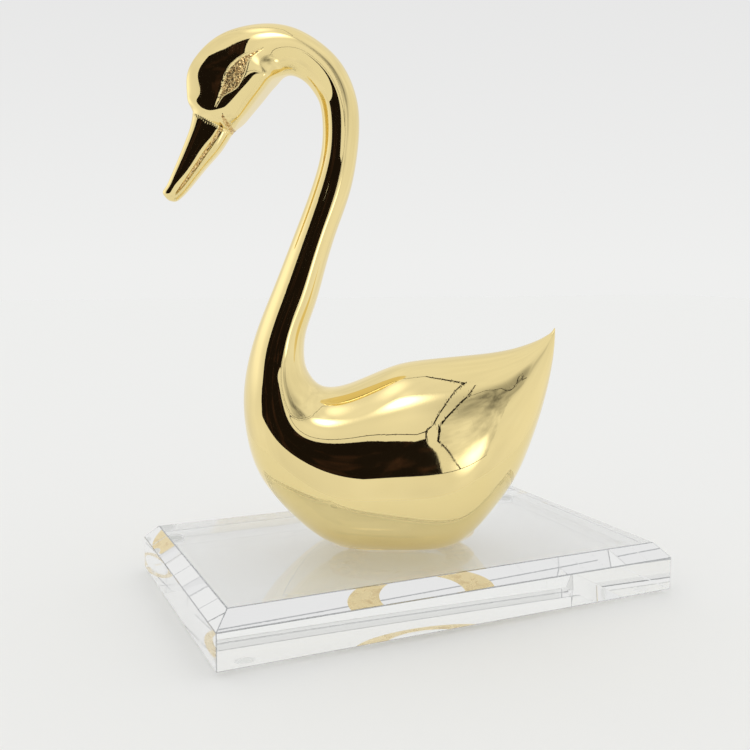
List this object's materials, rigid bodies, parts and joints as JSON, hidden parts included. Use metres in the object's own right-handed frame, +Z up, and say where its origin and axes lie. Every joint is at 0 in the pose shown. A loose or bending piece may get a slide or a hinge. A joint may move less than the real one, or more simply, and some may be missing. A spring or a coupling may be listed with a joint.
{
  "type": "swan figurine",
  "caption": "Polished brass swan with an S-curved neck on an oval brass ring, on a clear bevelled acrylic block.",
  "frame": {"origin": "centre of the block's footprint at the level that the feet stand on", "axes": "+X along the block's long side, +Y towards the block's back, +Z up; the swan faces -X, turned 26 degrees towards +Y"},
  "size_m": [0.2, 0.12, 0.236],
  "materials": {
    "polished_brass": "mirror polished and lacquered pale gold",
    "plain_brass": "ground and polished",
    "clear_acrylic": "clear, flame polished edges",
    "clear_bumper": "clear soft bumper"
  },
  "bodies": {
    "root": {"swan_neck": "polished_brass", "swan_body": "polished_brass", "seat_ring": "plain_brass", "base_block": "clear_acrylic", "foot_front_left": "clear_bumper", "foot_front_right": "clear_bumper", "foot_back_left": "clear_bumper", "foot_back_right": "clear_bumper"}
  },
  "joints": []
}
